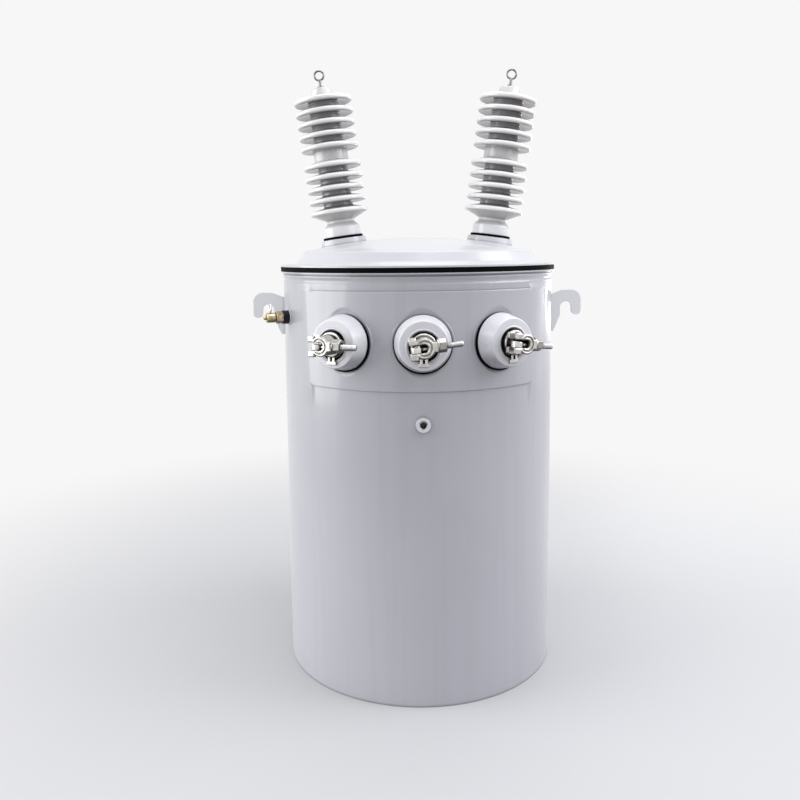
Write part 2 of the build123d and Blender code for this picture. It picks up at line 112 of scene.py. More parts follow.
def newGroup(name, inputs, outputs):
    # an empty node group: its sockets are floats or colours by their default value, or vectors for None
    tree = bpy.data.node_groups.new(name, "ShaderNodeTree")
    kinds = {float: "NodeSocketFloat", tuple: "NodeSocketColor", type(None): "NodeSocketVector"}
    for socketName, value in inputs.items():
        socket = tree.interface.new_socket(socketName, in_out="INPUT", socket_type=kinds[type(value)])
        if value is not None:
            socket.default_value = value
    for socketName, value in outputs.items():
        tree.interface.new_socket(socketName, in_out="OUTPUT", socket_type=kinds[type(value)])
    return tree, tree.nodes.new("NodeGroupInput").outputs, tree.nodes.new("NodeGroupOutput").inputs


def colorEffect(name, second, inputs, makeMask):
    # a group that mixes a colour towards a second one, by a mask times an amount
    inputs = {"Color": white, second: white, "Amount": 0.5, **inputs}
    tree, given, result = newGroup(name, inputs, {"Color": white, "Mask": 0.0})
    amount = mathOf(tree, "MULTIPLY", makeMask(tree, given), given["Amount"])
    tree.links.new(mixColors(tree, amount, given["Color"], given[second]), result["Color"])
    tree.links.new(amount, result["Mask"])
    return tree


def cloudyMask(tree, given):
    # soft patches: noise, then a smooth step
    noise = noiseOf(tree, given["Size"], Detail=3.0, Roughness=0.45, Distortion=0.1)
    return smoothMask(tree, noise, start=0.25, end=0.75)


def streakMask(tree, given):
    # faint upright runs: noise on a place that is squeezed across and stretched in height
    place = shaderNode(tree, "ShaderNodeTexCoord").outputs["Object"]
    pitch = shaderNode(tree, "ShaderNodeCombineXYZ", {
        "X": given["Width"], "Y": given["Width"], "Z": given["Length"],
    }).outputs[0]
    squeezed = shaderNode(tree, "ShaderNodeVectorMath", {0: place, 1: pitch}, operation="DIVIDE").outputs[0]
    noise = shaderNode(tree, "ShaderNodeTexNoise", {
        "Vector": squeezed, "Scale": 1.0, "Detail": 3.0, "Roughness": 0.55,
    }).outputs[0]
    return smoothMask(tree, noise, start=0.42, end=0.72)


def dustMask(tree, given):
    # dust lies where the surface looks up, broken up by noise
    normal = shaderNode(tree, "ShaderNodeNewGeometry").outputs["Normal"]
    upward = smoothMask(tree, heightOf(tree, normal), start=0.25, end=1.0)
    return mathOf(tree, "MULTIPLY", upward, noiseOf(tree, given["Size"], Detail=6.0, Roughness=0.65))


def paintedUnderShadeMask(tree, given):
    # painted shade on undersides: a smooth step of the normal's height between two values, darker where the
    # surface looks down
    return smoothMask(tree, heightOf(tree, given["Normal"]), given["Start"], given["End"])


def paintedCreviceShadeMask(tree, given):
    # painted shade in narrow gaps and recesses: the share of open sky round a point, turned over between two
    # shares
    sky = shaderNode(tree, "ShaderNodeAmbientOcclusion", {"Distance": given["Reach"]}, samples=8)
    return smoothMask(tree, sky.outputs["AO"], given["Shut"], given["Open"], before=1.0, after=0.0)


def makeSoftEdge():
    # the normal rounded over nearby edges, and a mask that is 1 on an edge: 1 minus their dot product
    inputs = {"Radius": 0.001, "Spread": 4.0}
    tree, given, result = newGroup("softEdge", inputs, {"Normal": None, "Edge": 0.0})
    rounded = shaderNode(tree, "ShaderNodeBevel", {"Radius": given["Radius"]}, samples=6).outputs[0]
    flat = shaderNode(tree, "ShaderNodeNewGeometry").outputs["Normal"]
    dot = shaderNode(tree, "ShaderNodeVectorMath", {0: rounded, 1: flat}, operation="DOT_PRODUCT")
    away = mathOf(tree, "SUBTRACT", 1.0, dot.outputs["Value"])
    tree.links.new(rounded, result["Normal"])
    tree.links.new(mathOf(tree, "MULTIPLY", away, given["Spread"], clamp=True), result["Edge"])
    return tree


def makeFineGrain():
    # a small relief: fine noise plus a share of broader waves
    inputs = {"Size": 0.002, "Wave Size": 0.03, "Wave": 0.5}
    tree, given, result = newGroup("fineGrain", inputs, {"Height": 0.0})
    fine = noiseOf(tree, given["Size"], Detail=3.0, Roughness=0.5)
    wave = noiseOf(tree, given["Wave Size"], Detail=1.0, Roughness=0.4)
    tree.links.new(mathOf(tree, "MULTIPLY_ADD", wave, given["Wave"], fine), result["Height"])
    return tree


sharedGroups = {
    "cloudyTone": colorEffect("cloudyTone", "Patch", {"Size": 0.2}, cloudyMask),
    "runStreaks": colorEffect("runStreaks", "Streak", {"Width": 0.02, "Length": 0.5}, streakMask),
    "settledDust": colorEffect("settledDust", "Dust", {"Size": 0.02}, dustMask),
    # painted shade: the colour darkens where the surface looks down
    "paintedUnderShade": colorEffect("paintedUnderShade", "Shade", {"Normal": None, "Start": 0.0, "End": -1.0}, paintedUnderShadeMask),
    # painted shade: the colour darkens in narrow gaps and recesses, by ambient occlusion
    "paintedCreviceShade": colorEffect("paintedCreviceShade", "Gap Shade", {"Reach": 0.01, "Shut": 0.0, "Open": 1.0}, paintedCreviceShadeMask),
    "softEdge": makeSoftEdge(),
    "fineGrain": makeFineGrain(),
}
plainLook = {
    "streakAmount": 0.0,
    "dustColor": (0.62, 0.61, 0.58),
    "dustAmount": 0.0,
    "dustSize": 0.03,
    "dustDulls": 0.5,
    # the painted shade on undersides and in gaps stays off unless a finish turns it on
    "underShadeAmount": 0.0,
    "underShadeRange": (-0.25, -0.85),
    "gapShadeAmount": 0.0,
    "gapShadeRange": (0.28, 0.80),
}


def shared(tree, name, values):
    # a shared group in a material, with the finish's own values
    return shaderNode(tree, "ShaderNodeGroup", values, node_tree=sharedGroups[name]).outputs


def finish(name, look):
    # one surface finish: a cloudy colour under runs, dust, edges tinted partly by wear and partly as a
    # painted highlight, painted shade on undersides and in gaps, with grain and soft edges in its relief, and
    # a gloss that follows the clouds and the dust
    look = {**plainLook, **look}
    material = bpy.data.materials.new(name)
    tree = emptyTree(material)
    edge = shared(tree, "softEdge", {"Radius": look["edgeRadius"]})
    tone = shared(tree, "cloudyTone", {
        "Color": rgba(look["color"]),
        "Patch": rgba(look["patch"]),
        "Size": look["patchSize"],
        "Amount": look["patchAmount"],
    })
    color = tone["Color"]
    if look["streakAmount"]:
        color = shared(tree, "runStreaks", {
            "Color": color,
            "Streak": rgba(look["streakColor"]),
            "Width": look["streakWidth"],
            "Length": look["streakLength"],
            "Amount": look["streakAmount"],
        })["Color"]
    dust = shared(tree, "settledDust", {
        "Color": color,
        "Dust": rgba(look["dustColor"]),
        "Size": look["dustSize"],
        "Amount": look["dustAmount"],
    })
    # edges mix towards the edge colour: partly real wear, partly a painted highlight, and a painted dark line
    # on the cap
    edgeWearAndLight = mathOf(tree, "MULTIPLY", edge["Edge"], look["edgeAmount"])
    color = mixColors(tree, edgeWearAndLight, dust["Color"], rgba(look["edgeColor"]))
    # painted shade: the colour darkens where the rounded normal looks down
    if look["underShadeAmount"]:
        start, end = look["underShadeRange"]
        color = shared(tree, "paintedUnderShade", {
            "Color": color,
            "Shade": rgba(look["underShadeColor"]),
            "Normal": edge["Normal"],
            "Start": start,
            "End": end,
            "Amount": look["underShadeAmount"],
        })["Color"]
    # painted shade: the colour darkens in narrow gaps and recesses, by ambient occlusion
    if look["gapShadeAmount"]:
        shut, wide = look["gapShadeRange"]
        color = shared(tree, "paintedCreviceShade", {
            "Color": color,
            "Gap Shade": rgba(look["gapShadeColor"]),
            "Reach": look["gapShadeReach"],
            "Shut": shut,
            "Open": wide,
            "Amount": look["gapShadeAmount"],
        })["Color"]
    grain = shared(tree, "fineGrain", {
        "Size": look["grainSize"],
        "Wave Size": look["waveSize"],
        "Wave": look["wave"],
    })
    relief = shaderNode(tree, "ShaderNodeBump", {
        "Strength": look["bump"],
        "Distance": look["bumpDepth"],
        "Height": grain["Height"],
        "Normal": edge["Normal"],
    })
    glossy, dull = look["roughness"]
    clouds = shaderNode(tree, "ShaderNodeMapRange", {
        "Value": tone["Mask"],
        "To Min": glossy,
        "To Max": dull,
    })
    shader = shaderNode(tree, "ShaderNodeBsdfPrincipled", {
        **look["shader"],
        "Base Color": color,
        "Normal": relief.outputs["Normal"],
        "Roughness": mathOf(tree, "MULTIPLY_ADD", dust["Mask"], look["dustDulls"], clouds.outputs[0]),
    })
    shaderNode(tree, "ShaderNodeOutputMaterial", {"Surface": shader.outputs[0]})
    return material


tankGrey = {
    "color": (0.445, 0.450, 0.485),
    "patch": (0.400, 0.405, 0.440),
    "patchSize": 0.22,
    "patchAmount": 0.5,
    "streakColor": (0.375, 0.375, 0.400),
    "streakWidth": 0.020,
    "streakLength": 0.55,
    "streakAmount": 0.28,
    # painted shade in the grooves, under the lip and along the plate's edges
    "gapShadeColor": (0.11, 0.11, 0.13),
    "gapShadeReach": 0.007,
    "gapShadeAmount": 0.75,
    "gapShadeRange": (0.45, 0.93),
    "grainSize": 0.0022,
    "waveSize": 0.055,
    "wave": 1.6,
    "bump": 0.12,
    "bumpDepth": 0.0006,
    "edgeRadius": 0.0012,
    # lighter edges: partly wear, partly a painted highlight
    "edgeColor": (0.62, 0.62, 0.65),
    "edgeAmount": 0.35,
    "roughness": (0.30, 0.38),
    "shader": {"Coat Weight": 0.5, "Coat Roughness": 0.09, "IOR": 1.45},
}
tinnedCasting = {
    "color": (0.72, 0.71, 0.69),
    "patch": (0.46, 0.44, 0.41),
    "patchSize": 0.008,
    "patchAmount": 0.8,
    # painted shade under the casting's parts and in its gaps
    "underShadeColor": (0.05, 0.04, 0.036),
    "underShadeAmount": 0.90,
    "underShadeRange": (0.14, -0.55),
    "gapShadeColor": (0.030, 0.022, 0.018),
    "gapShadeReach": 0.012,
    "gapShadeAmount": 0.97,
    "gapShadeRange": (0.30, 0.86),
    "grainSize": 0.0016,
    "waveSize": 0.007,
    "wave": 0.9,
    "bump": 0.22,
    "bumpDepth": 0.0003,
    "edgeRadius": 0.0020,
    # lighter edges: partly wear, partly a painted highlight
    "edgeColor": (0.86, 0.85, 0.83),
    "edgeAmount": 0.3,
    "roughness": (0.30, 0.40),
    "shader": {"Metallic": 1.0},
}
finishes = {
    "tank_paint": finish("tankPaint", tankGrey),
    # the same grey paint made lighter: painted light on the lid
    "cover_paint_painted_light": finish("coverPaintPaintedLight", {
        **tankGrey,
        "color": (0.57, 0.575, 0.605),
        "patch": (0.53, 0.535, 0.565),
        "streakAmount": 0.0,
        "dustAmount": 0.03,
        "roughness": (0.30, 0.40),
    }),
    # the same grey paint made paler: painted light on the lugs
    "lug_paint_painted_light": finish("lugPaintPaintedLight", {
        **tankGrey,
        "color": (0.76, 0.765, 0.785),
        "patch": (0.68, 0.685, 0.705),
        "streakAmount": 0.0,
    }),
    # the same grey paint made paler, as painted light on the boss's rim, with painted shade under it and
    # black painted shade in its hole
    "boss_paint_painted_light": finish("bossPaintPaintedLight", {
        **tankGrey,
        "color": (0.80, 0.80, 0.825),
        "patch": (0.68, 0.68, 0.705),
        "streakAmount": 0.0,
        "underShadeColor": (0.16, 0.16, 0.175),
        "underShadeAmount": 0.85,
        "underShadeRange": (0.1, -0.6),
        "gapShadeColor": (0.002, 0.002, 0.003),
        "gapShadeReach": 0.030,
        "gapShadeAmount": 1.0,
        "gapShadeRange": (0.18, 0.50),
        "edgeRadius": 0.0022,
        "edgeColor": (0.85, 0.85, 0.87),
        "roughness": (0.50, 0.60),
        "shader": {"Specular IOR Level": 0.08},
    }),
    "black_rubber": finish("gasketRubber", {
        "color": (0.0015, 0.0015, 0.002),
        "patch": (0.004, 0.004, 0.005),
        "patchSize": 0.03,
        "patchAmount": 0.6,
        "grainSize": 0.0009,
        "waveSize": 0.012,
        "wave": 0.8,
        "bump": 0.25,
        "bumpDepth": 0.0003,
        "edgeRadius": 0.0008,
        "edgeColor": (0.010, 0.010, 0.012),
        "edgeAmount": 0.3,
        "roughness": (0.55, 0.70),
        "shader": {"Specular IOR Level": 0.03},
    }),
    "hv_porcelain": finish("glazedPorcelain", {
        "color": (0.80, 0.80, 0.81),
        "patch": (0.73, 0.73, 0.75),
        "patchSize": 0.045,
        "patchAmount": 0.45,
        "dustAmount": 0.05,
        # painted shade under the sheds and on the core between them
        "underShadeColor": (0.36, 0.33, 0.31),
        "underShadeAmount": 0.8,
        "gapShadeColor": (0.25, 0.242, 0.25),
        "gapShadeReach": 0.030,
        "gapShadeAmount": 0.90,
        "grainSize": 0.0035,
        "waveSize": 0.018,
        "wave": 1.2,
        "bump": 0.14,
        "bumpDepth": 0.0004,
        "edgeRadius": 0.0016,
        "edgeColor": (0.80, 0.80, 0.81),
        "edgeAmount": 0.25,
        "roughness": (0.22, 0.30),
        "shader": {"Coat Weight": 0.4, "Coat Roughness": 0.16, "IOR": 1.5, "Subsurface Weight": 0.04},
    }),
    "lv_porcelain": finish("satinPorcelain", {
        "color": (0.73, 0.73, 0.765),
        "patch": (0.67, 0.67, 0.71),
        "patchSize": 0.03,
        "patchAmount": 0.5,
        "dustAmount": 0.08,
        # painted shade on the lower side of the cone
        "underShadeColor": (0.22, 0.215, 0.23),
        "underShadeAmount": 0.85,
        "underShadeRange": (-0.15, -0.75),
        "grainSize": 0.0012,
        "waveSize": 0.010,
        "wave": 0.7,
        "bump": 0.16,
        "bumpDepth": 0.0003,
        "edgeRadius": 0.0012,
        "edgeColor": (0.72, 0.72, 0.74),
        "edgeAmount": 0.3,
        "roughness": (0.26, 0.38),
        "shader": {"Coat Weight": 0.3, "Coat Roughness": 0.15, "IOR": 1.5},
    }),
    "tinned_metal": finish("tinnedCasting", tinnedCasting),
    "eyebolt_metal": finish("platedEyebolt", {
        **tinnedCasting,
        "color": (0.79, 0.79, 0.795),
        "patch": (0.64, 0.635, 0.63),
        "patchSize": 0.006,
        # where the painted shade under the eyebolt starts and ends
        "underShadeRange": (0.15, -0.60),
        "grainSize": 0.0008,
        "bump": 0.15,
        "edgeRadius": 0.0005,
        "roughness": (0.24, 0.34),
    }),
    "nut_metal": finish("dullNut", {
        **tinnedCasting,
        "color": (0.56, 0.55, 0.53),
        "patch": (0.36, 0.35, 0.33),
        # where the painted shade under the nut starts and ends
        "underShadeRange": (0.35, -0.45),
        "edgeRadius": 0.0014,
        "roughness": (0.34, 0.46),
    }),
    "thread_metal": finish("cutThread", {
        **tinnedCasting,
        # black painted shade deep in the thread
        "gapShadeColor": (0.003, 0.003, 0.003),
        "gapShadeReach": 0.030,
        "gapShadeAmount": 1.0,
        "gapShadeRange": (0.18, 0.52),
        "edgeRadius": 0.0004,
    }),
    "cap_metal": finish("paleCap", {
        **tinnedCasting,
        "color": (0.62, 0.62, 0.625),
        "patch": (0.52, 0.52, 0.525),
        "edgeRadius": 0.0016,
        # dark edges: a painted shade line round the cap's rims
        "edgeColor": (0.20, 0.20, 0.205),
        "edgeAmount": 0.9,
        "roughness": (0.42, 0.54),
        "shader": {"Metallic": 0.35},
    }),
    "ring_metal": finish("dullRing", {
        **tinnedCasting,
        "color": (0.30, 0.29, 0.285),
        "patch": (0.20, 0.19, 0.185),
        "bump": 0.15,
        "edgeAmount": 0.0,
        "roughness": (0.22, 0.32),
    }),
    "valve_brass": finish("turnedBrass", {
        "color": (0.62, 0.53, 0.34),
        "patch": (0.28, 0.20, 0.11),
        "patchSize": 0.006,
        "patchAmount": 0.75,
        # painted shade under the hex and in its gaps
        "underShadeColor": (0.09, 0.065, 0.03),
        "underShadeAmount": 0.85,
        "underShadeRange": (0.1, -0.6),
        "gapShadeColor": (0.04, 0.028, 0.015),
        "gapShadeReach": 0.009,
        "gapShadeAmount": 0.95,
        "gapShadeRange": (0.30, 0.90),
        "grainSize": 0.0007,
        "waveSize": 0.004,
        "wave": 0.5,
        "bump": 0.25,
        "bumpDepth": 0.0002,
        "edgeRadius": 0.0007,
        # bright edges: partly wear, partly a painted highlight
        "edgeColor": (0.93, 0.76, 0.46),
        "edgeAmount": 0.8,
        "roughness": (0.20, 0.40),
        "shader": {"Metallic": 1.0},
    }),
    "valve_steel": finish("brightWire", {
        "color": (0.80, 0.79, 0.77),
        "patch": (0.60, 0.58, 0.55),
        "patchSize": 0.004,
        "patchAmount": 0.5,
        "grainSize": 0.0006,
        "waveSize": 0.003,
        "wave": 0.4,
        "bump": 0.15,
        "bumpDepth": 0.0001,
        "edgeRadius": 0.0003,
        "edgeColor": (0.9, 0.9, 0.89),
        "edgeAmount": 0.3,
        "roughness": (0.18, 0.30),
        "shader": {"Metallic": 1.0},
    }),
    "black_steel": finish("blackEnamel", {
        "color": (0.005, 0.003, 0.012),
        "patch": (0.014, 0.009, 0.030),
        "patchSize": 0.01,
        "patchAmount": 0.5,
        "dustAmount": 0.05,
        "grainSize": 0.0012,
        "waveSize": 0.006,
        "wave": 0.8,
        "bump": 0.2,
        "bumpDepth": 0.0003,
        "edgeRadius": 0.0008,
        "edgeColor": (0.035, 0.028, 0.07),
        "edgeAmount": 0.4,
        "roughness": (0.40, 0.52),
        "shader": {"Specular IOR Level": 0.18},
    }),
}
finishes["core_mass"] = finishes["black_steel"]  # sealed inside the tank, never seen
ownFinish = {
    "cover_gasket": "black_rubber",
    "cover": "cover_paint_painted_light",
    "lifting_lug": "lug_paint_painted_light",
    "ground_boss": "boss_paint_painted_light",
    "lv_nut": "nut_metal",
    "hv_cap": "cap_metal",
    "hv_eye": "ring_metal",
}


def dressNodes():
    # a CAD piece takes the finish of its slot in the record, or its own where its name starts as one above
    slotOf = {row["node"]: row["material_slot"] for row in frame["record"]["subparts"]}
    for name, piece in nodes.items():
        kind = next((kind for start, kind in ownFinish.items() if name.startswith(start)), slotOf[name])
        piece.data.materials.clear()
        piece.data.materials.append(finishes[kind])


dressNodes()
print("Finishes on the CAD pieces")


def around(count):
    # even angles round a full turn
    return np.linspace(0, 2 * np.pi, count, endpoint=False)


def gridFaces(rows, columns, closedRows=False):
    # quads between neighbours of a grid of points that is listed row by row, where each row goes all round
    r, c = np.meshgrid(np.arange(rows if closedRows else rows - 1), np.arange(columns), indexing="ij")
    r2, c2 = (r + 1) % rows, (c + 1) % columns
    corners = [r * columns + c, r * columns + c2, r2 * columns + c2, r2 * columns + c]
    return np.stack(corners, -1).reshape(-1, 4)


class Surfaces:
    # gathers grids of points into one mesh

    def __init__(self):
        self.points, self.faces, self.count = [], [], 0

    def grid(self, points, capped=False):
        # the last row of a grid meets the first one, unless a fan about its middle point caps each of them
        rows, columns = points.shape[:2]
        faces = gridFaces(rows, columns, closedRows=not capped) + self.count
        self.faces += faces.tolist()
        flat = points.reshape(-1, 3)
        if capped:
            flat = np.vstack([flat, points[0].mean(0), points[-1].mean(0)])
            start, end = self.count + rows * columns, self.count + rows * columns + 1
            first, last = self.count, self.count + (rows - 1) * columns
            ring = np.arange(columns)
            after = (ring + 1) % columns
            self.faces += np.stack([ring * 0 + start, first + after, first + ring], -1).tolist()
            self.faces += np.stack([ring * 0 + end, last + ring, last + after], -1).tolist()
        self.points.append(flat)
        self.count += len(flat)
        return self

    def piece(self, name, slot, replaced=(), finishName=None):
        # the finished mesh piece on the root body, with smooth faces and outward normals
        mesh = bpy.data.meshes.new(name)
        mesh.from_pydata(np.vstack(self.points).tolist(), [], self.faces)
        work = bmesh.new()
        work.from_mesh(mesh)
        bmesh.ops.recalc_face_normals(work, faces=work.faces)
        work.to_mesh(mesh)
        work.free()
        mesh.shade_smooth()
        mesh.materials.append(finishes[finishName or slot])
        made = bpy.data.objects.new(name, mesh)
        scene.collection.objects.link(made)
        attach(made, "root")
        if replaced:
            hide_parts(*replaced)


def placer(node):
    # turns points given as right, up and out from the tank's axis into the frame of one node on its wall
    low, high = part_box(node)
    middle = (low + high) / 2
    azimuth = math.atan2(middle.x, -middle.y)

    def place(right, up, out, tilt=0.0):
        c, s = math.cos(tilt), math.sin(tilt)
        across, height = right * c - up * s, right * s + up * c
        x = out * math.sin(azimuth) + across * math.cos(azimuth)
        y = -out * math.cos(azimuth) + across * math.sin(azimuth)
        return np.stack(np.broadcast_arrays(x, y, middle.z + height), -1)

    return place


clampLow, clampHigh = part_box("lv_clamp_centre")
clampMiddle = -(clampLow.y + clampHigh.y) / 2
bushingFace = -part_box("lv_bushing_centre")[0].y

thread = {"stepsPerPitch": 8, "flankSlope": 1.35, "crestShare": 0.15}
eyebolt = {
    "tiltDegrees": {"left": 1.5, "centre": 8.0, "right": -6.0},
    "shankRadius": 0.0050,
    "threadPitch": 0.00175,
    "threadDepth": 0.00085,
    "plainEnd": 0.018,
    "plainSteps": 6,
    "shankEnd": 0.060,
    "tipChamfer": 0.0014,
    "shankSegments": 40,
    "eyeOffset": 0.0115,
    "eyeRadius": 0.0095,
    "holeRadius": 0.0060,
    "halfThickness": 0.0050,
    "rounding": 0.0018,
    "eyeSegments": 64,
    "cornerSegments": 24,
}


def threadRadius(along, angle, crest, depth, pitch):
    # the radius falls from crest to root and back once a pitch, and the pattern climbs once a turn
    phase = np.abs(2 * np.mod(along / pitch - angle / (2 * np.pi), 1.0) - 1)
    return crest - depth * np.clip(thread["flankSlope"] * phase - thread["crestShare"], 0, 1)


def eyeboltShank(place, tilt):
    # a round bar to the right from within the ring: its thread deepens over the first pitch, and its tip
    # narrows as fast as it runs out
    size = eyebolt
    start = -size["eyeOffset"] + (size["eyeRadius"] + size["holeRadius"]) / 2
    along = np.concatenate([
        np.linspace(start, size["plainEnd"], size["plainSteps"]),
        np.arange(size["plainEnd"], size["shankEnd"], size["threadPitch"] / thread["stepsPerPitch"])[1:],
        [size["shankEnd"]],
    ])[:, None]
    angle = around(size["shankSegments"])[None, :]
    cut = np.clip((along - size["plainEnd"]) / size["threadPitch"], 0, 1)
    radius = threadRadius(along, angle, size["shankRadius"], size["threadDepth"] * cut, size["threadPitch"])
    radius = np.minimum(radius, size["shankRadius"] + size["shankEnd"] - along - size["tipChamfer"])
    return place(along + 0 * angle, radius * np.sin(angle), clampMiddle + radius * np.cos(angle), tilt)


def eyeboltRing(place, tilt):
    # a ring about the upright axis: its section is cosine and sine to a small power, a rounded rectangle
    size = eyebolt
    corner, turn = around(size["cornerSegments"])[:, None], around(size["eyeSegments"])[None, :]
    power = size["rounding"] / size["halfThickness"]
    swell = np.sign(np.cos(corner)) * np.abs(np.cos(corner)) ** power
    rise = np.sign(np.sin(corner)) * np.abs(np.sin(corner)) ** power
    middleRadius = (size["eyeRadius"] + size["holeRadius"]) / 2
    radius = middleRadius + (size["eyeRadius"] - size["holeRadius"]) / 2 * swell
    right = -size["eyeOffset"] + radius * np.cos(turn)
    return place(right, size["halfThickness"] * rise + 0 * turn, clampMiddle + radius * np.sin(turn), tilt)


def makeEyebolts():
    # one eyebolt in each clamp, tilted as in the solids
    for side in sides:
        place = placer(f"lv_gasket_{side}")
        tilt = math.radians(eyebolt["tiltDegrees"][side])
        made = Surfaces().grid(eyeboltShank(place, tilt), capped=True).grid(eyeboltRing(place, tilt))
        made.piece(f"eyebolt_{side}", "tinned_metal", [f"lv_eyebolt_{side}"], "eyebolt_metal")


seal = {"radius": 0.0223, "thickness": 0.0020, "sink": 0.0006, "corners": 16, "segments": 96}


def makeSeals():
    # a black rubber ring in each bushing's face: a circle carried round the collar
    corner, turn = around(seal["corners"])[:, None], around(seal["segments"])[None, :]
    radius = seal["radius"] + seal["thickness"] * np.cos(corner)
    out = bushingFace - seal["sink"] + seal["thickness"] * np.sin(corner) + 0 * turn
    for side in sides:
        ring = placer(f"lv_gasket_{side}")(radius * np.cos(turn), radius * np.sin(turn), out)
        Surfaces().grid(ring).piece(f"collar_seal_{side}", "black_rubber")


lip = {"radius": 0.0272, "half": 0.0020, "height": 0.0007, "root": 0.0005, "steps": 13, "segments": 96}


def makeLips():
    # a low raised ring round the recess in each face: one cosine wave from trough to trough across it
    share, turn = np.linspace(-1, 1, lip["steps"])[:, None], around(lip["segments"])[None, :]
    radius = np.append(lip["radius"] + lip["half"] * share, [[lip["radius"]]], 0)
    rise = np.append(lip["height"] * (0.5 + 0.5 * np.cos(np.pi * share)), [[-lip["root"]]], 0)
    out = bushingFace + rise + 0 * turn
    for side in sides:
        ring = placer(f"lv_gasket_{side}")(radius * np.cos(turn), radius * np.sin(turn), out)
        Surfaces().grid(ring).piece(f"face_lip_{side}", "lv_porcelain")


makeEyebolts()
makeSeals()
makeLips()
print("Eyebolts with threads, face seals and lips")

tankRadius = 0.250  # outside of the tank's wall
plateOutside = 0.2526  # outside of the bushing plate
weld = {
    "radius": 0.0030,
    "ripplePitch": 0.0042,
    "ripple": 0.16,
    "sink": 0.0008,
    "step": 0.0009,
    "leastPoints": 8,
    "corners": 12,
    "taperRadii": 2.0,
    "tipShare": 0.02,
}


def smoothStep(share):
    # 0 below 0, 1 above 1, and 3 share squared minus 2 share cubed between
    share = np.clip(share, 0, 1)
    return share**2 * (3 - 2 * share)


def wallNormal(points):
    # straight out from the tank's axis: the level part of a point on the wall, over the wall's radius
    return points * np.array([1.0, 1.0, 0.0]) / tankRadius


def evenCount(length):
    # how many points a length of bead takes
    return max(weld["leastPoints"], int(length / weld["step"]))


def tube(path, side, up, radius):
    # a circle carried along a path: each point plus its radius times side cos corner plus up sin corner
    corner = around(weld["corners"])[None, :, None]
    ring = np.cos(corner) * side[:, None, :] + np.sin(corner) * up[:, None, :]
    return path[:, None, :] + radius[:, None, None] * ring


def weldBead(path, normal, closed, share=1.0):
    # a round bead along a path: its radius falls with the square of the ripple's phase, and where the
    # path is open its ends taper by a square root
    ahead = np.roll(path, -1, 0) - path if closed else np.gradient(path, axis=0)
    ahead /= np.linalg.norm(ahead, axis=1)[:, None]
    across = np.cross(normal, ahead)
    across /= np.linalg.norm(across, axis=1)[:, None]
    along = np.concatenate([[0], np.cumsum(np.linalg.norm(np.diff(path, axis=0), axis=1))])
    total = along[-1] + (np.linalg.norm(path[0] - path[-1]) if closed else 0)
    ripples = max(1, round(total / weld["ripplePitch"]))
    phase = np.mod(along / total * ripples, 1.0)
    radius = share * weld["radius"] * (1 - weld["ripple"] * phase**2)
    if not closed:
        fromEnd = np.minimum(along, total - along) / (weld["taperRadii"] * weld["radius"])
        radius = radius * np.sqrt(np.clip(fromEnd, weld["tipShare"], 1))
    return tube(path - normal * share * weld["sink"], across, np.cross(ahead, across), radius)


def bossWeld(name, node, share=1.0):
    # a bead round a bush: a circle in the bush's own plane, dropped onto the wall
    low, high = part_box(node)
    radius = (high.z - low.z) / 2
    turn = around(evenCount(2 * np.pi * radius))
    across, up = radius * np.cos(turn), radius * np.sin(turn)
    path = placer(node)(across, up, np.sqrt(tankRadius**2 - across**2))
    Surfaces().grid(weldBead(path, wallNormal(path), closed=True, share=share)).piece(name, "tank_paint")


lugRoot = {"topFall": 0.010, "nearest": 1e-6}


def lugWelds():
    # a bead up each side of a lug and over its top and bottom, as one closed loop
    for side, sign in (("left", -1), ("right", 1)):
        low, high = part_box(f"lifting_lug_{side}")
        half = (high.y - low.y) / 2
        bottom, top = low.z, high.z - lugRoot["topFall"]
        upright, flat = evenCount(top - bottom), evenCount(2 * half)
        y = np.concatenate([
            np.full(upright, -half), np.linspace(-half, half, flat),
            np.full(upright, half), np.linspace(half, -half, flat),
        ])
        z = np.concatenate([
            np.linspace(bottom, top, upright), np.full(flat, top),
            np.linspace(top, bottom, upright), np.full(flat, bottom),
        ])
        stride = np.hypot(np.diff(y), np.diff(z))  # a corner comes twice, so one of each pair goes
        keep = np.append(stride > lugRoot["nearest"], False)
        y, z = y[keep], z[keep]
        path = np.stack([sign * np.sqrt(tankRadius**2 - y**2), y, z], -1)
        Surfaces().grid(weldBead(path, wallNormal(path), closed=True)).piece(f"lug_weld_{side}", "tank_paint")


def backWall(x, z):
    # points on the back of the tank's wall: y is the root of its radius squared minus x squared
    return np.stack(np.broadcast_arrays(x, math.sqrt(tankRadius**2 - x**2), z), -1)


def hangerWelds():
    # an upright bead outside each side plate of a hanger bracket
    for name in ("upper", "lower"):
        low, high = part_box(f"hanger_bracket_{name}")
        z = np.linspace(low.z, high.z, evenCount(high.z - low.z))
        beads = Surfaces()
        for x in (low.x, high.x):
            path = backWall(x, z)
            beads.grid(weldBead(path, wallNormal(path), closed=False), capped=True)
        beads.piece(f"hanger_weld_{name}", "tank_paint")


plateEnd = {
    "overlap": 0.045,
    "run": 0.24,
    "cover": 0.00008,
    "root": 0.0012,
    "under": 0.00015,
    "fadeBelow": 0.045,
    "fadeAbove": 0.013,
    "edge": 0.0001,
    "rows": (24, 60, 16),
    "columns": (16, 48),
}


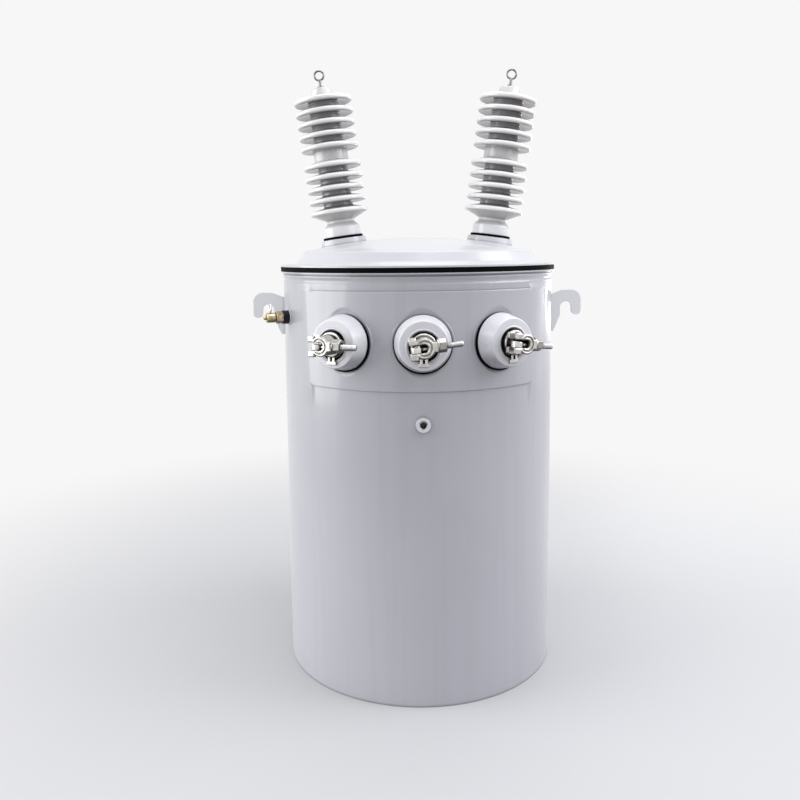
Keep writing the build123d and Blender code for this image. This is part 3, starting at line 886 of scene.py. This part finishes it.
def plateEnds():
    # the plate's upright ends are dressed flush: a skin comes up out of the plate by a smooth step,
    # falls to the wall by half a cosine, and runs out above and below the plate by a smooth step
    low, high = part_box("bushing_plate")
    size = plateEnd
    halfAngle = math.asin(high.x / plateOutside)
    rowsBelow, rowsBeside, rowsAbove = size["rows"]
    z = np.concatenate([
        np.linspace(low.z - size["fadeBelow"], low.z - size["edge"], rowsBelow),
        np.linspace(low.z + size["edge"], high.z - size["edge"], rowsBeside),
        np.linspace(high.z + size["edge"], high.z + size["fadeAbove"], rowsAbove),
    ])[:, None]
    columnsOn, columnsOff = size["columns"]
    angle = np.concatenate([
        np.linspace(-size["overlap"], 0, columnsOn, endpoint=False),
        np.linspace(0, size["run"], columnsOff),
    ])[None, :]
    rise = smoothStep((angle + size["overlap"]) / size["overlap"])
    fall = 0.5 + 0.5 * np.cos(np.pi * np.clip(angle / size["run"], 0, 1))
    beyond = np.maximum(low.z - z, z - high.z)
    near = smoothStep(1 - np.maximum((low.z - z) / size["fadeBelow"], (z - high.z) / size["fadeAbove"]))
    onPlate = plateOutside + size["under"] * (rise - 1) + size["cover"] * rise
    height = plateOutside + size["cover"] - tankRadius + size["under"]
    onWall = tankRadius - size["under"] + height * np.minimum(rise, fall) * near
    outer = np.where((angle < 0) & (beyond < 0), onPlate, onWall)
    inner = tankRadius - size["root"] + 0 * outer
    turn = halfAngle + angle + 0 * outer
    radius = np.concatenate([outer, inner[:, ::-1]], 1)
    turn = np.concatenate([turn, turn[:, ::-1]], 1)
    ends = Surfaces()
    for sign in (-1, 1):
        x, y = sign * radius * np.sin(turn), -radius * np.cos(turn)
        ends.grid(np.stack(np.broadcast_arrays(x, y, z), -1), capped=True)
    ends.piece("plate_end_dressing", "tank_paint")


plateSeam = {
    "radius": 0.2510,
    "bead": 0.0016,
    "beyond": -0.004,
    "taper": 0.04,
    "tipShare": 0.01,
    "points": 400,
}


def plateSeams():
    # a smooth paint-filled weld along the plate's top and bottom edges: its ends taper by a square root
    low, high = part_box("bushing_plate")
    halfAngle = math.asin(high.x / plateOutside) + plateSeam["beyond"]
    angle = np.linspace(-halfAngle, halfAngle, plateSeam["points"])
    fromEnd = (halfAngle - np.abs(angle)) / plateSeam["taper"]
    radius = plateSeam["bead"] * np.sqrt(np.clip(fromEnd, plateSeam["tipShare"], 1))
    out = np.stack([np.sin(angle), -np.cos(angle), 0 * angle], -1)
    up = np.broadcast_to([0.0, 0.0, 1.0], out.shape)
    seams = Surfaces()
    for z in (low.z, high.z):
        seams.grid(tube(out * plateSeam["radius"] + up * z, out, up, radius), capped=True)
    seams.piece("plate_edge_seams", "tank_paint")


seam = {"x": 0.128, "bottom": 0.004, "top": 0.700, "sink": 0.0016}


def wallSeam():
    # the wall's long seam, ground nearly flat, on the back beside the brackets, with half the usual points
    z = np.linspace(seam["bottom"], seam["top"], evenCount(seam["top"] - seam["bottom"]) // 2)
    path = backWall(seam["x"], z)
    normal = wallNormal(path)
    bead = weldBead(path - normal * seam["sink"], normal, closed=False)
    Surfaces().grid(bead, capped=True).piece("wall_seam_weld", "tank_paint")


bossThread = {
    "major": 0.0062,
    "depth": 0.0008,
    "pitch": 0.0018,
    "wall": 0.0001,
    "back": 0.004,
    "mouth": 0.0018,
    "segments": 56,
}


def groundThread():
    # a thread inside the earthing boss: a tube whose inner face follows the thread
    low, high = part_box("ground_boss")
    size = bossThread
    step = size["pitch"] / thread["stepsPerPitch"]
    out = np.arange(-high.y + size["back"], -low.y - size["mouth"], step)[:, None]
    angle = around(size["segments"])[None, :]
    inner = threadRadius(out, angle, size["major"], size["depth"], size["pitch"])
    radius = np.concatenate([inner, size["major"] + size["wall"] + 0 * inner], 0)
    along = np.concatenate([out, out[::-1]], 0)
    height = (low.z + high.z) / 2 + radius * np.cos(angle)
    points = np.stack(np.broadcast_arrays(radius * np.sin(angle), -along, height), -1)
    Surfaces().grid(points).piece("ground_boss_thread", "tinned_metal", finishName="thread_metal")


bossWeld("ground_boss_weld", "ground_boss", share=0.5)
bossWeld("valve_bush_weld", "relief_valve_bush")
lugWelds()
hangerWelds()
plateEnds()
plateSeams()
wallSeam()
groundThread()
print("Welds, dressed plate ends and the earthing thread")

camera = {
    "place": (-0.0505, -1.5210, 0.7617),
    "headingDegrees": 0.64,
    "pitchDegrees": -6.21,
    "rollDegrees": -0.59,
    "lens": 36.07,
    "sensor": 36.0,
    "shiftY": -0.0764,
    "nearest": 0.05,
    "farthest": 60.0,
}


def makeCamera():
    # forward follows the heading and the pitch, and right and up lean over by the roll
    heading, pitch, roll = [math.radians(camera[key + "Degrees"]) for key in ("heading", "pitch", "roll")]
    level = math.cos(pitch)
    forward = Vector((level * math.sin(heading), level * math.cos(heading), math.sin(pitch)))
    right = Vector((math.cos(heading), -math.sin(heading), 0.0))
    up = right.cross(forward)
    leanRight = right * math.cos(roll) + up * math.sin(roll)
    leanUp = up * math.cos(roll) - right * math.sin(roll)
    lens = bpy.data.cameras.new("camera")
    lens.sensor_width = camera["sensor"]
    lens.lens = camera["lens"]
    lens.shift_y = camera["shiftY"]
    lens.clip_start = camera["nearest"]
    lens.clip_end = camera["farthest"]
    view = bpy.data.objects.new("camera", lens)
    turn = Matrix((leanRight, leanUp, -forward)).transposed().to_4x4()
    view.matrix_world = Matrix.Translation(camera["place"]) @ turn
    scene.collection.objects.link(view)
    scene.camera = view


lampAim = (0.0, 0.0, 0.55)  # the point that every lamp looks at
lamps = {
    "leftLamp": {"place": (-2.6, -0.35, 1.1), "size": (2.6, 2.6), "power": 61.0, "color": (1.0, 1.0, 0.99)},
    "rightLamp": {"place": (2.3, -0.1, 2.0), "size": (1.9, 1.9), "power": 33.0, "color": (0.95, 0.965, 1.0)},
    "topLamp": {"place": (0.1, -0.2, 3.0), "size": (2.2, 2.2), "power": 31.0, "color": (1.0, 1.0, 1.0)},
    "frontLamp": {"place": (0.6, -1.6, 2.8), "size": (1.4, 1.4), "power": 4.0, "color": (1.0, 0.99, 1.0)},
    "upperLamp": {"place": (1.1, -0.65, 1.35), "size": (1.0, 1.0), "power": 4.5, "color": (1.0, 0.98, 1.0)},
    "gleamLamp": {"place": (1.35, 1.85, 0.53), "size": (1.2, 0.27), "power": 4.4, "color": (1.0, 1.0, 1.0)},
}


def makeLamps():
    # soft oval lamps, each turned along the line from its place to the aim, and hidden from the camera
    for name, lamp in lamps.items():
        light = bpy.data.lights.new(name, "AREA")
        light.shape = "ELLIPSE"
        light.size, light.size_y = lamp["size"]
        light.energy = lamp["power"]
        light.color = lamp["color"]
        holder = bpy.data.objects.new(name, light)
        holder.visible_camera = False
        place = Vector(lamp["place"])
        aim = (Vector(lampAim) - place).to_track_quat("-Z", "Y").to_matrix().to_4x4()
        holder.matrix_world = Matrix.Translation(place) @ aim
        scene.collection.objects.link(holder)


studio = {
    "worldColor": (0.80, 0.81, 0.86),
    "worldLevel": 0.68,
    "backLevel": 0.93,
    "floorRadius": 9.0,
    "floorRings": 24,
    "floorSpokes": 96,
    "floorColor": (0.67, 0.67, 0.68),
    "floorSeen": (0.55, 0.55, 0.56),
    "floorRoughness": 0.45,
    "floorSpecular": 0.12,
    "floorLevel": 0.38,
    "fadeStart": 0.50,
    "fadeEnd": 1.75,
}


def seenPlainly(tree):
    # 1 for a ray from the camera or off a glossy surface, and 0 for the light on the object
    path = shaderNode(tree, "ShaderNodeLightPath").outputs
    return mathOf(tree, "MAXIMUM", path["Is Camera Ray"], path["Is Glossy Ray"])


def mixShaders(tree, factor, first, second):
    # the first shader at factor 0, and the second one at factor 1
    values = {0: factor, 1: first.outputs[0], 2: second.outputs[0]}
    return shaderNode(tree, "ShaderNodeMixShader", values).outputs[0]


def makeWorld():
    # the world lights softly, and shows as plain pale background to the camera and in reflections
    scene.world = bpy.data.worlds.new("studioWorld")
    tree = emptyTree(scene.world)
    soft = shaderNode(tree, "ShaderNodeBackground", {
        "Color": rgba(studio["worldColor"]), "Strength": studio["worldLevel"],
    })
    plain = shaderNode(tree, "ShaderNodeBackground", {"Color": white, "Strength": studio["backLevel"]})
    shaderNode(tree, "ShaderNodeOutputWorld", {"Surface": mixShaders(tree, seenPlainly(tree), soft, plain)})


def paleFloor():
    # a pale floor that fades into the background: the share of plain white grows with the radius,
    # and the camera sees it a little darker than the object does, so that it stays short of white
    material = bpy.data.materials.new("paleFloor")
    tree = emptyTree(material)
    viewed = shaderNode(tree, "ShaderNodeLightPath").outputs["Is Camera Ray"]
    shader = shaderNode(tree, "ShaderNodeBsdfPrincipled", {
        "Base Color": mixColors(tree, viewed, rgba(studio["floorColor"]), rgba(studio["floorSeen"])),
        "Roughness": studio["floorRoughness"],
        "Specular IOR Level": studio["floorSpecular"],
    })
    level = shaderNode(tree, "ShaderNodeMapRange", {
        "Value": seenPlainly(tree), "To Min": studio["floorLevel"], "To Max": studio["backLevel"],
    })
    plain = shaderNode(tree, "ShaderNodeEmission", {"Strength": level.outputs[0]})
    place = shaderNode(tree, "ShaderNodeTexCoord").outputs["Object"]
    reach = shaderNode(tree, "ShaderNodeVectorMath", {0: place}, operation="LENGTH").outputs["Value"]
    fade = smoothMask(tree, reach, studio["fadeStart"], studio["fadeEnd"])
    shaderNode(tree, "ShaderNodeOutputMaterial", {"Surface": mixShaders(tree, fade, shader, plain)})
    return material


def makeFloor():
    # a flat disc: the radius grows by equal steps from a centre point
    rings, spokes = studio["floorRings"], studio["floorSpokes"]
    radius = np.linspace(0, studio["floorRadius"], rings + 1)[1:, None]
    angle = around(spokes)[None, :]
    points = np.stack([radius * np.cos(angle), radius * np.sin(angle), 0 * radius * angle], -1)
    middle = rings * spokes
    spoke = np.arange(spokes)
    fan = np.stack([middle + 0 * spoke, spoke, (spoke + 1) % spokes], -1).tolist()
    quads = gridFaces(rings, spokes)[:, ::-1].tolist()
    mesh = bpy.data.meshes.new("floor")
    mesh.from_pydata([*points.reshape(-1, 3).tolist(), (0.0, 0.0, 0.0)], [], fan + quads)
    mesh.materials.append(paleFloor())
    floor = bpy.data.objects.new("floor", mesh)
    scene.collection.objects.link(floor)


makeCamera()
makeLamps()
makeWorld()
makeFloor()
scene.view_settings.view_transform = "Standard"
print("Camera, lamps, world and floor")
